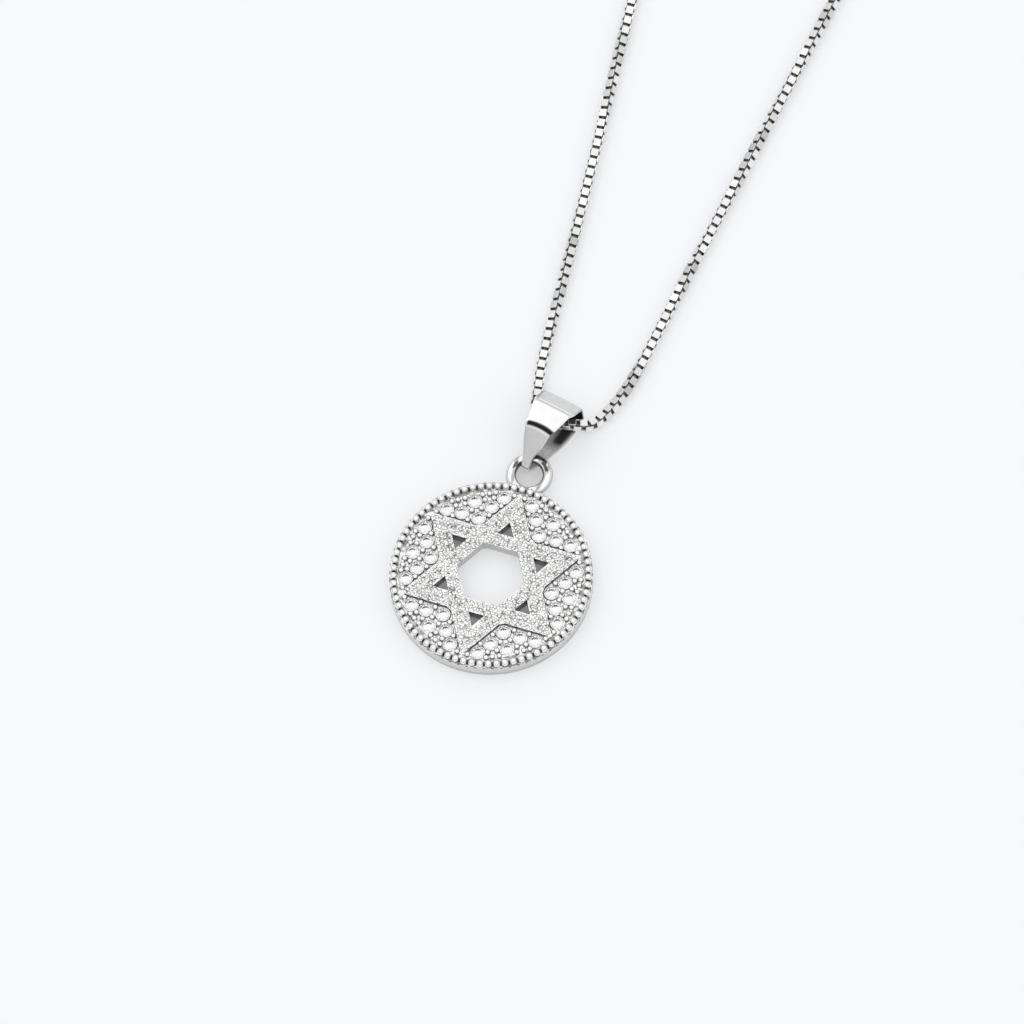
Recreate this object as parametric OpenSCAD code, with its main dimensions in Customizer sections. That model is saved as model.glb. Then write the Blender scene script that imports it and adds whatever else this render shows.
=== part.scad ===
// Round pendant with a raised six-pointed star, on a fine box chain, lying flat. Millimetres, +Z up.
// The stones face up and the pendant's ring points along +Y.

/* [Disc] */
// Outer radius of the rim wall
rim_r = 9.2; // [9.1:0.05:9.4]
// Radius of the circle that the rim beads stand on
bead_circle_r = 8.8; // [8.7:0.05:8.85]
// Radius of one rim bead
bead_r = 0.34; // [0.28:0.01:0.35]
// Number of rim beads
bead_count = 73; // [60:1:74]
// Height of the smooth rim wall below its beads
wall_h = 1.45; // [1.4:0.05:1.5]
// Width of the flat foot under the rim
foot_w = 0.9; // [0.7:0.05:1]
// Depth of the hollow back
hollow_h = 0.55; // [0.45:0.05:0.6]
// Height of the sunken fields that hold the stones
field_z = 1.38; // [1.34:0.01:1.4]

/* [Star] */
// Height of the star's face
star_z = 1.7; // [1.65:0.01:1.75]
// Distance from the middle to each long edge of the star
star_edge = 4.18; // [4.1:0.01:4.2]
// Corner radius of the hexagonal window
window_r = 3.26; // [3:0.02:3.3]
// Corner radius of each small triangular window
triangle_r = 0.87; // [0.7:0.01:0.9]
// Distance from the middle to each triangular window's centre
triangle_out = 4.5; // [4.4:0.01:4.55]

/* [Stones] */
// Radius of a stone at its girdle
stone_r = 0.64; // [0.58:0.01:0.65]
// Height of the girdle above the resting surface
girdle_z = 1.45; // [1.44:0.01:1.47]
// Radius of a prong grain
grain_r = 0.21; // [0.17:0.01:0.22]

/* [Ring and bail] */
// Radius from the ring's centre to the middle of its wire
ring_r = 1.68; // [1.66:0.01:1.7]
// Radius of the ring's wire
wire_r = 0.46; // [0.42:0.01:0.47]
// Thickness of the bail's folded strap
strap_t = 0.3; // [0.28:0.01:0.31]
// Half the strap's width at the fold
strap_half_w = 2.03; // [1.8:0.01:2.1]
// Half the strap's width at the tip
tip_half_w = 0.33; // [0.25:0.01:0.4]

/* [Chain] */
// Outer radius of the chain
chain_r = 0.5; // [0.4:0.05:0.5]
// Length of the clasp
clasp_len = 9; // [8.8:0.1:9]
// Radius of the clasp's barrel
clasp_r = 1.6; // [1.5:0.05:1.6]

/* [Hidden] */
FIELDS = 6;

// Stones of one field: [share of the bead circle outwards, share sideways]
FIELD_STONES = [
    [0.655, 0],
    [0.752, 0.155],
    [0.752, -0.155],
    [0.85, 0],
    [0.823, 0.3],
    [0.823, -0.3],
];

// Grains on one side of a field: [share of the bead circle outwards, share sideways]
FIELD_GRAINS = [
    [0.66, 0.113],
    [0.757, 0.051],
    [0.735, 0.254],
    [0.841, 0.2],
    [0.842, 0.105],
    [0.905, 0.092],
    [0.9, 0.165],
    [0.897, 0.23],
    [0.82, 0.41],
];

stone_count = FIELDS * len(FIELD_STONES);

function stone_name(i) = str("stone_", i < 10 ? "0" : "", i);

// Rim, from the foot up to the thin lip inside the beads
foot_chamfer = 0.1;
cut_over = 1;
lip_inner_r = bead_circle_r - 0.78;
lip_outer_r = bead_circle_r - 0.6;
lip_z = wall_h + 0.15;
bead_z = wall_h + 0.21;
star_cut_r = lip_outer_r + 0.1;
star_foot_z = hollow_h + 0.1;
notch_out = 0.57 * bead_circle_r;
bead_fn = 24;
round_fn = 128;

// Stone cut, as shares of its girdle radius
stone_turn = 17;
table_r = 0.56 * stone_r;
crown_mid_r = 0.79 * stone_r;
pavilion_mid_r = 0.2 * stone_r;
crown_h = 0.3 * stone_r;
girdle_h = 0.06 * stone_r;
pavilion_h = 0.84 * stone_r;
seat_gap = 0.05;
seat_wall_r = stone_r + 0.06;
seat_tip_r = 0.03;
seat_overlap = 0.01;
seat_fn = 32;
grain_z = field_z + 0.12;

// Ring
ring_y = bead_circle_r + 1.87;
ring_z = 0.9;
wire_fn = 32;

// Bail, from its tip: [along, up, bend radius] at each corner of the strap's outer side
bail_at = [-0.51, 10.99];
bail_turn = -11;
BAIL_CORNERS = [
    [0, 1.05, 0.45],
    [3, 4.42, 0.42],
    [5.35, 4.45, 0.7],
    [7.3, 2.55, 0.8],
    [7.45, 0.06, 0.6],
    [0.4, 0.06, 0.42],
];
bend_steps = 5;
straight_steps = 6;
strap_taper = 0.22;
back_spread = 13.5;

// Chain route, from the clasp's right end round through the bail to its left end.
// rest_z is the height of the chain's middle where it lies on the surface.
rest_z = 0.58;
clasp_x = 3.6;
clasp_y = 222.8;
cap_r = 0.6 * clasp_r;
cap_len = 1.3;
barrel_half = clasp_len / 6;
socket_w = 2 * chain_r + 0.14;
socket_depth = 1.1;
socket_run = socket_depth + cut_over;
clasp_fn = 48;
ROUTE = [
    [7.2, clasp_y, clasp_r],
    [8.9, clasp_y, 1.55],
    [12, 221.9, 1],
    [15.5, 220.2, rest_z],
    [20, 216.9, rest_z],
    [24.6, 211.7, rest_z],
    [27.6, 205.1, rest_z],
    [28.6, 197.8, rest_z],
    [27.6, 188.5, rest_z],
    [25, 170, rest_z],
    [21, 140, rest_z],
    [17.1, 110, rest_z],
    [13.2, 80, rest_z],
    [10.3, 57.6, rest_z],
    [7.9, 39.2, rest_z],
    [6.8, 30.4, rest_z],
    [6, 24, rest_z],
    [5.45, 21, rest_z],
    [4.65, 18.7, rest_z],
    [3.75, 17.2, 0.72],
    [2.9, 16.75, 0.93],
    [1.7, 16.45, 1.06],
    [0.5, 16.15, 1.06],
    [-0.5, 16.25, 1.06],
    [-1.3, 16.8, 1.04],
    [-1.78, 17.8, 0.85],
    [-2.05, 19.1, 0.62],
    [-2.45, 21, rest_z],
    [-2.8, 24, rest_z],
    [-3.4, 30.4, rest_z],
    [-4.3, 39.2, rest_z],
    [-6.3, 57.6, rest_z],
    [-8.7, 80, rest_z],
    [-11.9, 110, rest_z],
    [-15.1, 140, rest_z],
    [-18.3, 170, rest_z],
    [-20.3, 188.5, rest_z],
    [-21.4, 197.8, rest_z],
    [-20.4, 205.1, rest_z],
    [-17.4, 211.7, rest_z],
    [-12.8, 216.9, rest_z],
    [-8.3, 220.2, rest_z],
    [-4.8, 221.9, 1],
    [-1.7, clasp_y, 1.55],
    [0, clasp_y, clasp_r],
];
tube_sides = 8;
curved_span = [4, 10];

function unit(v) = v / norm(v);
function total(v, i = 0) = i >= len(v) ? 0 : v[i] + total(v, i + 1);

// Catmull-Rom curve through the route: span i, share t of the way along it
function route_at(i) = ROUTE[max(0, min(len(ROUTE) - 1, i))];
function curve(i, t) =
    let (a = route_at(i - 1), b = route_at(i), c = route_at(i + 1), d = route_at(i + 2))
    0.5 * (2 * b + (c - a) * t + (2 * a - 5 * b + 4 * c - d) * t * t + (3 * b - a - 3 * c + d) * t * t * t);
function curve_slope(i, t) =
    let (a = route_at(i - 1), b = route_at(i), c = route_at(i + 1), d = route_at(i + 2))
    0.5 * ((c - a) + 2 * (2 * a - 5 * b + 4 * c - d) * t + 3 * (3 * b - a - 3 * c + d) * t * t);
function span_steps(i) =
    let (length = norm(route_at(i + 1) - route_at(i)))
    length > curved_span[0] && length < curved_span[1] ? 2 : 1;
TUBE_STATIONS = concat(
    [for (i = [0:len(ROUTE) - 2]) for (k = [0:span_steps(i) - 1]) [i, k / span_steps(i)]],
    [[len(ROUTE) - 2, 1]]
);
function tube_ring(station) =
    let (
        middle = curve(station[0], station[1]),
        along = unit(curve_slope(station[0], station[1])),
        side = unit(cross(along, [0, 0, 1])),
        up = cross(side, along)
    )
    [for (k = [0:tube_sides - 1])
        let (turn = 360 * (k + 0.5) / tube_sides)
        middle + chain_r * (cos(turn) * side + sin(turn) * up)];
TUBE_POINTS = [for (s = TUBE_STATIONS) for (p = tube_ring(s)) p];

// The part's origin is the middle of its outline, on the surface that it lies on
x_low = min([for (p = TUBE_POINTS) p[0]]);
x_high = max([for (p = TUBE_POINTS) p[0]]);
middle_at = [(x_low + x_high) / 2, (clasp_y + clasp_r - rim_r) / 2];

module place() {
    translate([-middle_at[0], -middle_at[1], 0])
        children();
}

// Star outline: each tip, and the two ends of the small bevel in each notch
notch_side = (notch_out * cos(30) - star_edge) / sin(30);
STAR_OUTLINE = [
    for (k = [0:FIELDS - 1])
        for (p = [[2 * star_edge, 0, 30], [notch_out, -notch_side, 60], [notch_out, notch_side, 60]])
            let (turn = 60 * k + p[2])
            [p[0] * cos(turn) - p[1] * sin(turn), p[0] * sin(turn) + p[1] * cos(turn)]
];

// Where stone i stands, and the seat that is cut for it
function stone_at(i) =
    let (
        field = floor(i / len(FIELD_STONES)),
        spot = bead_circle_r * FIELD_STONES[i % len(FIELD_STONES)]
    )
    [spot[0] * cos(60 * field) - spot[1] * sin(60 * field), spot[0] * sin(60 * field) + spot[1] * cos(60 * field)];

module seat() {
    slope = stone_r / pavilion_h;
    tip_z = girdle_z - girdle_h / 2 - pavilion_h - seat_gap;
    low_z = tip_z + seat_tip_r / slope;
    wall_z = tip_z + seat_wall_r / slope;
    translate([0, 0, low_z])
        cylinder(r1 = seat_tip_r, r2 = seat_wall_r, h = wall_z - low_z, $fn = seat_fn);
    translate([0, 0, wall_z - seat_overlap])
        cylinder(r = seat_wall_r, h = star_z, $fn = seat_fn);
}

module rim_and_plate() {
    rotate_extrude($fn = round_fn)
        polygon([
            [0, hollow_h],
            [rim_r - foot_w, hollow_h],
            [rim_r - foot_w, 0],
            [rim_r - foot_chamfer, 0],
            [rim_r, foot_chamfer],
            [rim_r, wall_h],
            [lip_outer_r, wall_h],
            [lip_outer_r, lip_z],
            [lip_inner_r, lip_z],
            [lip_inner_r, field_z],
            [0, field_z],
        ]);
}

module star() {
    intersection() {
        translate([0, 0, star_foot_z])
            linear_extrude(height = star_z - star_foot_z)
                polygon(STAR_OUTLINE);
        cylinder(r = star_cut_r, h = star_z + cut_over, $fn = round_fn);
    }
}

module windows() {
    cylinder(r = window_r, h = star_z + cut_over, $fn = 6);
    for (k = [0:FIELDS - 1])
        rotate([0, 0, 60 * k + 30])
            translate([triangle_out, 0, 0])
                cylinder(r = triangle_r, h = star_z + cut_over, $fn = 3);
}

module rim_beads() {
    for (k = [0:bead_count - 1])
        rotate([0, 0, 90 + 360 * k / bead_count])
            translate([bead_circle_r, 0, bead_z])
                sphere(r = bead_r, $fn = bead_fn);
}

module grains() {
    for (k = [0:FIELDS - 1])
        for (spot = FIELD_GRAINS)
            for (side = [-1, 1])
                rotate([0, 0, 60 * k])
                    translate([bead_circle_r * spot[0], side * bead_circle_r * spot[1], grain_z])
                        sphere(r = grain_r, $fn = bead_fn);
}

module top_ring() {
    translate([0, ring_y, ring_z])
        rotate_extrude($fn = round_fn / 2)
            translate([ring_r, 0])
                circle(r = wire_r, $fn = wire_fn);
}

module disc() {
    color("silver")
        place() {
            difference() {
                union() {
                    rim_and_plate();
                    star();
                }
                windows();
                for (i = [0:stone_count - 1])
                    translate(stone_at(i))
                        seat();
            }
            rim_beads();
            grains();
            top_ring();
        }
}

// Round brilliant cut: rings of points at a radius, a height and a turn
function cut_ring(count, r, z, turn) =
    [for (k = [0:count - 1]) [r * cos(360 * k / count + turn), r * sin(360 * k / count + turn), z]];

module brilliant() {
    top = girdle_h / 2;
    crown_slope = crown_h / (stone_r - table_r);
    pavilion_slope = pavilion_h / stone_r;
    half_facet = 22.5;
    crown_mid_z = top + crown_h - (crown_mid_r * cos(half_facet) - table_r) * crown_slope;
    pavilion_mid_z = -top - pavilion_h + pavilion_mid_r * cos(half_facet) * pavilion_slope;
    points = concat(
        cut_ring(8, table_r, top + crown_h, 0),
        cut_ring(8, crown_mid_r, crown_mid_z, half_facet),
        cut_ring(16, stone_r, top, 0),
        cut_ring(16, stone_r, -top, 0),
        cut_ring(8, pavilion_mid_r, pavilion_mid_z, half_facet),
        [[0, 0, -top - pavilion_h]]
    );
    table = 0;
    mid = 8;
    girdle = 16;
    under = 32;
    low_mid = 48;
    culet = 56;
    faces = concat(
        [[for (k = [7:-1:0]) table + k]],
        [for (k = [0:7]) [table + k, table + (k + 1) % 8, mid + k]],
        [for (k = [0:7]) [table + k, mid + k, girdle + 2 * k]],
        [for (k = [0:7]) [table + k, girdle + 2 * k, mid + (k + 7) % 8]],
        [for (k = [0:7]) [mid + k, girdle + 2 * k + 1, girdle + 2 * k]],
        [for (k = [0:7]) [mid + k, girdle + (2 * k + 2) % 16, girdle + 2 * k + 1]],
        [for (k = [0:15]) [girdle + k, girdle + (k + 1) % 16, under + (k + 1) % 16]],
        [for (k = [0:15]) [girdle + k, under + (k + 1) % 16, under + k]],
        [for (k = [0:7]) [low_mid + k, under + 2 * k, under + 2 * k + 1]],
        [for (k = [0:7]) [low_mid + k, under + 2 * k + 1, under + (2 * k + 2) % 16]],
        [for (k = [0:7]) [culet, under + 2 * k, low_mid + k]],
        [for (k = [0:7]) [culet, low_mid + (k + 7) % 8, under + 2 * k]]
    );
    polyhedron(points = points, faces = faces);
}

module stone(i) {
    color("white")
        place()
            translate([stone_at(i)[0], stone_at(i)[1], girdle_z])
                rotate([0, 0, stone_turn * i])
                    brilliant();
}

// Strap outline: points of the bend at corner i, each as [outer point, inner point]
function corner(i) = BAIL_CORNERS[(i + len(BAIL_CORNERS)) % len(BAIL_CORNERS)];
function flat(c) = [c[0], c[1]];
function bend(i) =
    let (
        here = flat(corner(i)),
        r = corner(i)[2],
        back = unit(flat(corner(i - 1)) - here),
        ahead = unit(flat(corner(i + 1)) - here),
        half = acos(back * ahead) / 2,
        middle = here + unit(back + ahead) * r / sin(half),
        from = here + back * r / tan(half) - middle,
        to = here + ahead * r / tan(half) - middle,
        swept = 180 - 2 * half
    )
    [for (k = [0:bend_steps])
        let (
            t = k / bend_steps,
            spoke = (sin((1 - t) * swept) * from + sin(t * swept) * to) / sin(swept)
        )
        [middle + spoke, middle + spoke * (r - strap_t) / r]];
function straight(i) =
    let (from = bend(i)[bend_steps], to = bend(i + 1)[0])
    [for (k = [1:straight_steps - 1]) from + (to - from) * k / straight_steps];
STRAP = [for (i = [0:len(BAIL_CORNERS) - 1]) each concat(bend(i), straight(i))];
strap_count = len(STRAP);
STRAP_STEPS = [for (i = [0:strap_count - 1]) norm(STRAP[(i + 1) % strap_count][0] - STRAP[i][0])];
strap_len = total(STRAP_STEPS);
function strap_to(i) = i == 0 ? 0 : strap_to(i - 1) + STRAP_STEPS[i - 1];

// Half the strap's width: the front leaf widens straight, the back leaf widens along a sine
function front_half(from_tip) = min(strap_half_w, tip_half_w + strap_taper * from_tip);
function back_half(from_tip) = max(tip_half_w, strap_half_w * sin(min(90, back_spread * from_tip)));
function strap_half(i) = min(front_half(strap_to(i)), back_half(strap_len - strap_to(i)));

module bail() {
    points = [
        for (i = [0:strap_count - 1])
            let (w = strap_half(i), outer = STRAP[i][0], inner = STRAP[i][1])
            each [
                [-w, outer[0], outer[1]],
                [w, outer[0], outer[1]],
                [w, inner[0], inner[1]],
                [-w, inner[0], inner[1]],
            ]
    ];
    faces = [
        for (i = [0:strap_count - 1])
            for (k = [0:3])
                let (
                    a = 4 * i,
                    b = 4 * ((i + 1) % strap_count),
                    m = (k + 1) % 4
                )
                each [[a + k, b + m, a + m], [a + k, b + k, b + m]]
    ];
    color("silver")
        place()
            translate([bail_at[0], bail_at[1], 0])
                rotate([0, 0, bail_turn])
                    polyhedron(points = points, faces = faces);
}

module chain() {
    rings = len(TUBE_STATIONS);
    faces = concat(
        [[for (k = [tube_sides - 1:-1:0]) k]],
        [for (r = [0:rings - 2]) for (k = [0:tube_sides - 1])
            let (
                a = r * tube_sides,
                m = (k + 1) % tube_sides
            )
            [a + k, a + m, a + tube_sides + m, a + tube_sides + k]],
        [[for (k = [0:tube_sides - 1]) (rings - 1) * tube_sides + k]]
    );
    color("silver")
        place()
            polyhedron(points = TUBE_POINTS, faces = faces);
}

// Plain barrel clasp: round caps at both ends, each with a square socket for the chain
module clasp() {
    half = clasp_len / 2;
    color("silver")
        place()
            translate([clasp_x, clasp_y, clasp_r])
                difference() {
                    rotate([0, 90, 0])
                        rotate_extrude($fn = clasp_fn)
                            polygon([
                                [0, -half],
                                [cap_r, -half],
                                [cap_r, -half + cap_len],
                                [clasp_r, -barrel_half],
                                [clasp_r, barrel_half],
                                [cap_r, half - cap_len],
                                [cap_r, half],
                                [0, half],
                            ]);
                    for (side = [-1, 1])
                        translate([side * (half - socket_depth + socket_run / 2), 0, 0])
                            cube([socket_run, socket_w, socket_w], center = true);
                }
}

disc();
bail();
chain();
clasp();
for (i = [1:stone_count])
    stone(i - 1);
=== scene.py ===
# %% [markdown]
# # A round star pendant on a fine box chain
# The imported part brings the pendant's disc, its bail, its chain, its clasp and thirty-six small stones, each in its
# right place. This lesson dresses them. It starts by loading that frame, because every later number is measured
# against it.

# %% Load the frame
import math

import bpy
import numpy as np
from mathutils import Matrix, Vector


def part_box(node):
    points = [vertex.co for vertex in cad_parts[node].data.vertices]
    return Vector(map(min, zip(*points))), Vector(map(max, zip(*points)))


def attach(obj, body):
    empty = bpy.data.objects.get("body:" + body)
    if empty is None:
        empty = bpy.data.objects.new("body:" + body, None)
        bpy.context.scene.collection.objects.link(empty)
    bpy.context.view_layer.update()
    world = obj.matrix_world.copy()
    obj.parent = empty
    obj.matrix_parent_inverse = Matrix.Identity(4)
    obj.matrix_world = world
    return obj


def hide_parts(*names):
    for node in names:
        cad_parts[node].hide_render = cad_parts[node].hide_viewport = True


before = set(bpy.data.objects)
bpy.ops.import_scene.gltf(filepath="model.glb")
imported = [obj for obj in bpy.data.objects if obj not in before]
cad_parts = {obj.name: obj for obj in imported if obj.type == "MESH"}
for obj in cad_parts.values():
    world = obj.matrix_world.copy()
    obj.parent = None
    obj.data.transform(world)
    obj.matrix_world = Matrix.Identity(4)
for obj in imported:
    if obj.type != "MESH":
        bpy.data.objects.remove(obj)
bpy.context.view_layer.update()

# %% [markdown]
# ## Measures
# Jewellery is drawn in millimetres and Blender works in metres, so every length below is multiplied by MM. The
# middle of the disc is where the pendant's own drawing starts, and the frame gives it: the disc node's box, without
# its hanging ring, is as wide as the rim.

# %% The pendant's own place
MM = 0.001
RIM_R = 9.2 * MM
disc_low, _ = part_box("disc")
DISC_X = disc_low[0] + RIM_R
DISC_Y = disc_low[1] + RIM_R
DISC_MIDDLE = np.array([DISC_X, DISC_Y, 0.0])
print("middle of the disc in mm:", np.round(DISC_MIDDLE / MM, 3))


def from_pendant(points):
    """Points in the pendant's own drawing, in millimetres, moved to the frame: scaled to metres, then shifted."""
    return np.asarray(points, float) * MM + DISC_MIDDLE


# %% [markdown]
# ## Camera
# The photograph looks down at the jewellery from about 66 degrees above the table, from the lower right, with a
# long lens, so that parallel lines stay parallel. A far camera with a very long lens gives the same flat look. It is
# turned a few degrees about its own axis, as the picture is.

# %% The camera


def in_scene(name, data):
    """An object of this data, linked to the scene."""
    made = bpy.data.objects.new(name, data)
    bpy.context.scene.collection.objects.link(made)
    return made


CAMERA_RISE = math.radians(65.9)
CAMERA_SIDE = math.radians(-66.0)
CAMERA_ROLL = math.radians(5.69)
CAMERA_DISTANCE = 4.0
FRAME_WIDTH = 92.4 * MM
PICTURE_SIDE = 1024
PIXEL = FRAME_WIDTH / PICTURE_SIDE
DISC_IN_PICTURE = (490.79, 573.44)
AIM_HEIGHT = 1.9 * MM

to_camera = Vector((
    math.cos(CAMERA_RISE) * math.cos(CAMERA_SIDE),
    math.cos(CAMERA_RISE) * math.sin(CAMERA_SIDE),
    math.sin(CAMERA_RISE),
))
level_right = Vector((0, 0, 1)).cross(to_camera).normalized()
level_up = to_camera.cross(level_right)
picture_right = level_right * math.cos(CAMERA_ROLL) - level_up * math.sin(CAMERA_ROLL)
picture_up = level_right * math.sin(CAMERA_ROLL) + level_up * math.cos(CAMERA_ROLL)
aim = (
    Vector((DISC_X, DISC_Y, AIM_HEIGHT))
    + picture_right * (PICTURE_SIDE / 2 - DISC_IN_PICTURE[0]) * PIXEL
    + picture_up * (DISC_IN_PICTURE[1] - PICTURE_SIDE / 2) * PIXEL
)
camera_data = bpy.data.cameras.new("camera")
camera_data.sensor_width = 36
camera_data.lens = camera_data.sensor_width * CAMERA_DISTANCE / FRAME_WIDTH
camera_data.clip_start = 0.1
camera_data.clip_end = 50
camera = in_scene("camera", camera_data)
camera_turn = Matrix((picture_right, picture_up, to_camera)).transposed().to_4x4()
camera.matrix_world = Matrix.Translation(aim + to_camera * CAMERA_DISTANCE) @ camera_turn
bpy.context.scene.camera = camera
print("lens in mm:", round(camera_data.lens), "one pixel in mm:", round(PIXEL / MM, 4))

# %% [markdown]
# ## Surfaces from numpy
# Every new piece is a grid of points computed as whole arrays, so a few small helpers are enough for all of them:
# one joins the grid's points into four-sided faces, one measures the volume that they close in, and one puts points
# and faces into a mesh. A positive volume says that the faces look outwards.

# %% Grid helpers


def together(*parts):
    """Arrays stretched to one shape and stacked along a new last side, such as x, y and z."""
    return np.stack(np.broadcast_arrays(*parts), axis=-1)


def grid_faces(rows, columns, close_rows=False, close_columns=False):
    """Four-sided faces of a grid whose point (i, j) has the number i * columns + j. A closed side joins its last
    line to its first."""
    i = np.arange(rows if close_rows else rows - 1)[:, None]
    j = np.arange(columns if close_columns else columns - 1)[None, :]
    right = (j + 1) % columns
    below = (i + 1) % rows
    corners = [i * columns + j, i * columns + right, below * columns + right, below * columns + j]
    return together(*corners).reshape(-1, 4)


def repeated(faces, points_each, count):
    """The same faces for each of count copies, whose points follow one another."""
    faces = np.asarray(faces)
    shift = (np.arange(count) * points_each)[:, None, None]
    return (faces[None] + shift).reshape(-1, faces.shape[1])


# %% From points and faces to a mesh


def enclosed(points, faces):
    """Volume that the faces close in: a sixth of the sum of each triangle's a . (b x c)."""
    total = 0.0
    for k in range(1, faces.shape[1] - 1):
        a, b, c = points[faces[:, 0]], points[faces[:, k]], points[faces[:, k + 1]]
        total += np.einsum("ij,ij->i", a - points[0], np.cross(b - points[0], c - points[0])).sum()
    return total / 6


def make_piece(name, drawn, face_sets, normals=None, **marks):
    """A smooth mesh object at the origin from points in the pendant's drawing and arrays of faces, with optional
    normals of its own. A mark is a number for each point, or an array that can be stretched to that."""
    points = from_pendant(drawn).reshape(-1, 3)
    mesh = bpy.data.meshes.new(name)
    mesh.vertices.add(len(points))
    mesh.vertices.foreach_set("co", points.ravel())
    corners = np.concatenate([faces.ravel() for faces in face_sets])
    sizes = np.concatenate([np.full(len(faces), faces.shape[1]) for faces in face_sets])
    mesh.loops.add(len(corners))
    mesh.loops.foreach_set("vertex_index", corners)
    mesh.polygons.add(len(sizes))
    mesh.polygons.foreach_set("loop_start", np.concatenate([[0], np.cumsum(sizes)[:-1]]))
    mesh.polygons.foreach_set("loop_total", sizes)
    mesh.polygons.foreach_set("use_smooth", np.ones(len(sizes), bool))
    mesh.update(calc_edges=True)
    for mark, values in marks.items():
        values = np.broadcast_to(values, np.shape(drawn)[:-1]).astype(float).ravel()
        mesh.attributes.new(mark, "FLOAT", "POINT").data.foreach_set("value", values)
    if normals is not None:
        mesh.normals_split_custom_set_from_vertices(np.asarray(normals).reshape(-1, 3).tolist())
    piece = in_scene(name, mesh)
    volume = sum(enclosed(points, faces) for faces in face_sets)
    triangles = int((sizes - 2).sum())
    print(f"{name}: {triangles} triangles, {volume / MM**3:.2f} cubic mm")
    return piece


# %% Lengths


def lengthwise(points):
    """Distance along a line of points, from its start to each point."""
    return np.concatenate([[0], np.cumsum(np.linalg.norm(np.diff(points, axis=0), axis=1))])


def unit(vectors):
    """Vectors divided by their own lengths."""
    return vectors / np.linalg.norm(vectors, axis=-1, keepdims=True)


# %% [markdown]
# ## Node helpers
# The room's light and the finishes are built from a handful of nodes over and over: a sum or product, a smooth step
# between two values, a mix of two colours. Short helpers keep each of them readable. Shared effects are node groups
# with named inputs and outputs, made once and placed in each material with its own values.

# %% Nodes from their values


def fill(node, values):
    """Each value goes to the node's input of that name or number: another node's output is linked there, and a
    number, a colour or a vector is set there. Returns the node's own outputs."""
    for name, value in values.items():
        if isinstance(value, bpy.types.NodeSocket):
            node.id_data.links.new(value, node.inputs[name])
        else:
            node.inputs[name].default_value = value
    return node.outputs


def built(kind, values, tree=None, **settings):
    """Outputs of a new node of this kind, with these settings and with these values at its inputs. It goes to the
    tree that its linked values are in, or to the given one."""
    tree = tree or next(value.id_data for value in values.values() if isinstance(value, bpy.types.NodeSocket))
    node = tree.nodes.new(kind)
    for name, setting in settings.items():
        setattr(node, name, setting)
    return fill(node, values)


def math_node(operation, *values):
    """One math node on numbers or sockets. Returns its output."""
    return built("ShaderNodeMath", dict(enumerate(values)), operation=operation)[0]


def vector_node(operation, *values):
    """One vector math node. Returns its outputs, named Vector and Value."""
    return built("ShaderNodeVectorMath", dict(enumerate(values)), operation=operation)


def product(result, *factors):
    """All these numbers or sockets multiplied together."""
    for factor in factors:
        result = math_node("MULTIPLY", result, factor)
    return result


def largest(result, *others):
    """The largest of these numbers or sockets."""
    for other in others:
        result = math_node("MAXIMUM", result, other)
    return result


def x_y_z(vector):
    """The three numbers of a vector, as outputs named X, Y and Z."""
    return built("ShaderNodeSeparateXYZ", {"Vector": vector})


# %% Steps and mixes


def step(value, low, high, at_low=0.0, at_high=1.0):
    """A smooth step: at_low where value is under low, at_high where it is over high, eased in between."""
    values = {"Value": value, "From Min": low, "From Max": high, "To Min": at_low, "To Max": at_high}
    return built("ShaderNodeMapRange", values, interpolation_type="SMOOTHSTEP")["Result"]


def between(value, low, high, soft):
    """1 where value lies between low and high and 0 outside, with soft edges."""
    past_low = step(value, low - soft, low + soft)
    return product(past_low, step(value, high - soft, high + soft, 1.0, 0.0))


def mix_number(share, a, b):
    """a where share is 0, b where it is 1."""
    return built("ShaderNodeMix", {0: share, 2: a, 3: b}, data_type="FLOAT")[0]


def mix_colour(share, a, b):
    """Colour a where share is 0, colour b where it is 1."""
    return built("ShaderNodeMix", {0: share, 6: a, 7: b}, data_type="RGBA")[2]


# %% Groups and materials


def new_group(name, inputs, outputs):
    """An empty shader node group whose sockets have the given names and kinds, its inputs and its last node."""
    tree = bpy.data.node_groups.new(name, "ShaderNodeTree")
    for way, sockets in (("INPUT", inputs), ("OUTPUT", outputs)):
        for label, kind in sockets.items():
            tree.interface.new_socket(label, in_out=way, socket_type=kind)
    return tree, tree.nodes.new("NodeGroupInput").outputs, tree.nodes.new("NodeGroupOutput")


def place_group(group, **values):
    """Places a group in a material, with a number, a colour or a socket at each input. Returns its outputs."""
    return built("ShaderNodeGroup", values, node_tree=group)


def new_material(name):
    """A material, its node tree and its shader."""
    material = bpy.data.materials.new(name)
    material.use_nodes = True
    return material, material.node_tree, material.node_tree.nodes["Principled BSDF"]


def millimetres(tree, start=(0, 0, 0)):
    """The object's own coordinates in millimetres, counted from a start in metres."""
    place = built("ShaderNodeTexCoord", {}, tree)["Object"]
    scaled = {"Vector": place, "Location": tuple(-np.asarray(start) / MM), "Scale": (1 / MM, 1 / MM, 1 / MM)}
    return built("ShaderNodeMapping", scaled)["Vector"]


# %% [markdown]
# ## Table, lamp and room
# The jewellery lies on white paper in a bright room. Polished silver shows nothing but that room, so the room
# matters more than any lamp: it is brightest overhead and greyer towards the horizon, which is what makes the
# bail's steep front leaf look grey and its top white. One large soft lamp at the upper left gives the faint
# shadows to the lower right.

# %% The floor
FLOOR_HALF = 4.0
floor_corners = np.array([[-1, -1, 0], [1, -1, 0], [1, 1, 0], [-1, 1, 0]]) * FLOOR_HALF
floor_mesh = bpy.data.meshes.new("floor")
floor_mesh.from_pydata(floor_corners.tolist(), [], [[0, 1, 2, 3]])
floor = in_scene("floor", floor_mesh)
print("floor's side in metres:", 2 * FLOOR_HALF)

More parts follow.
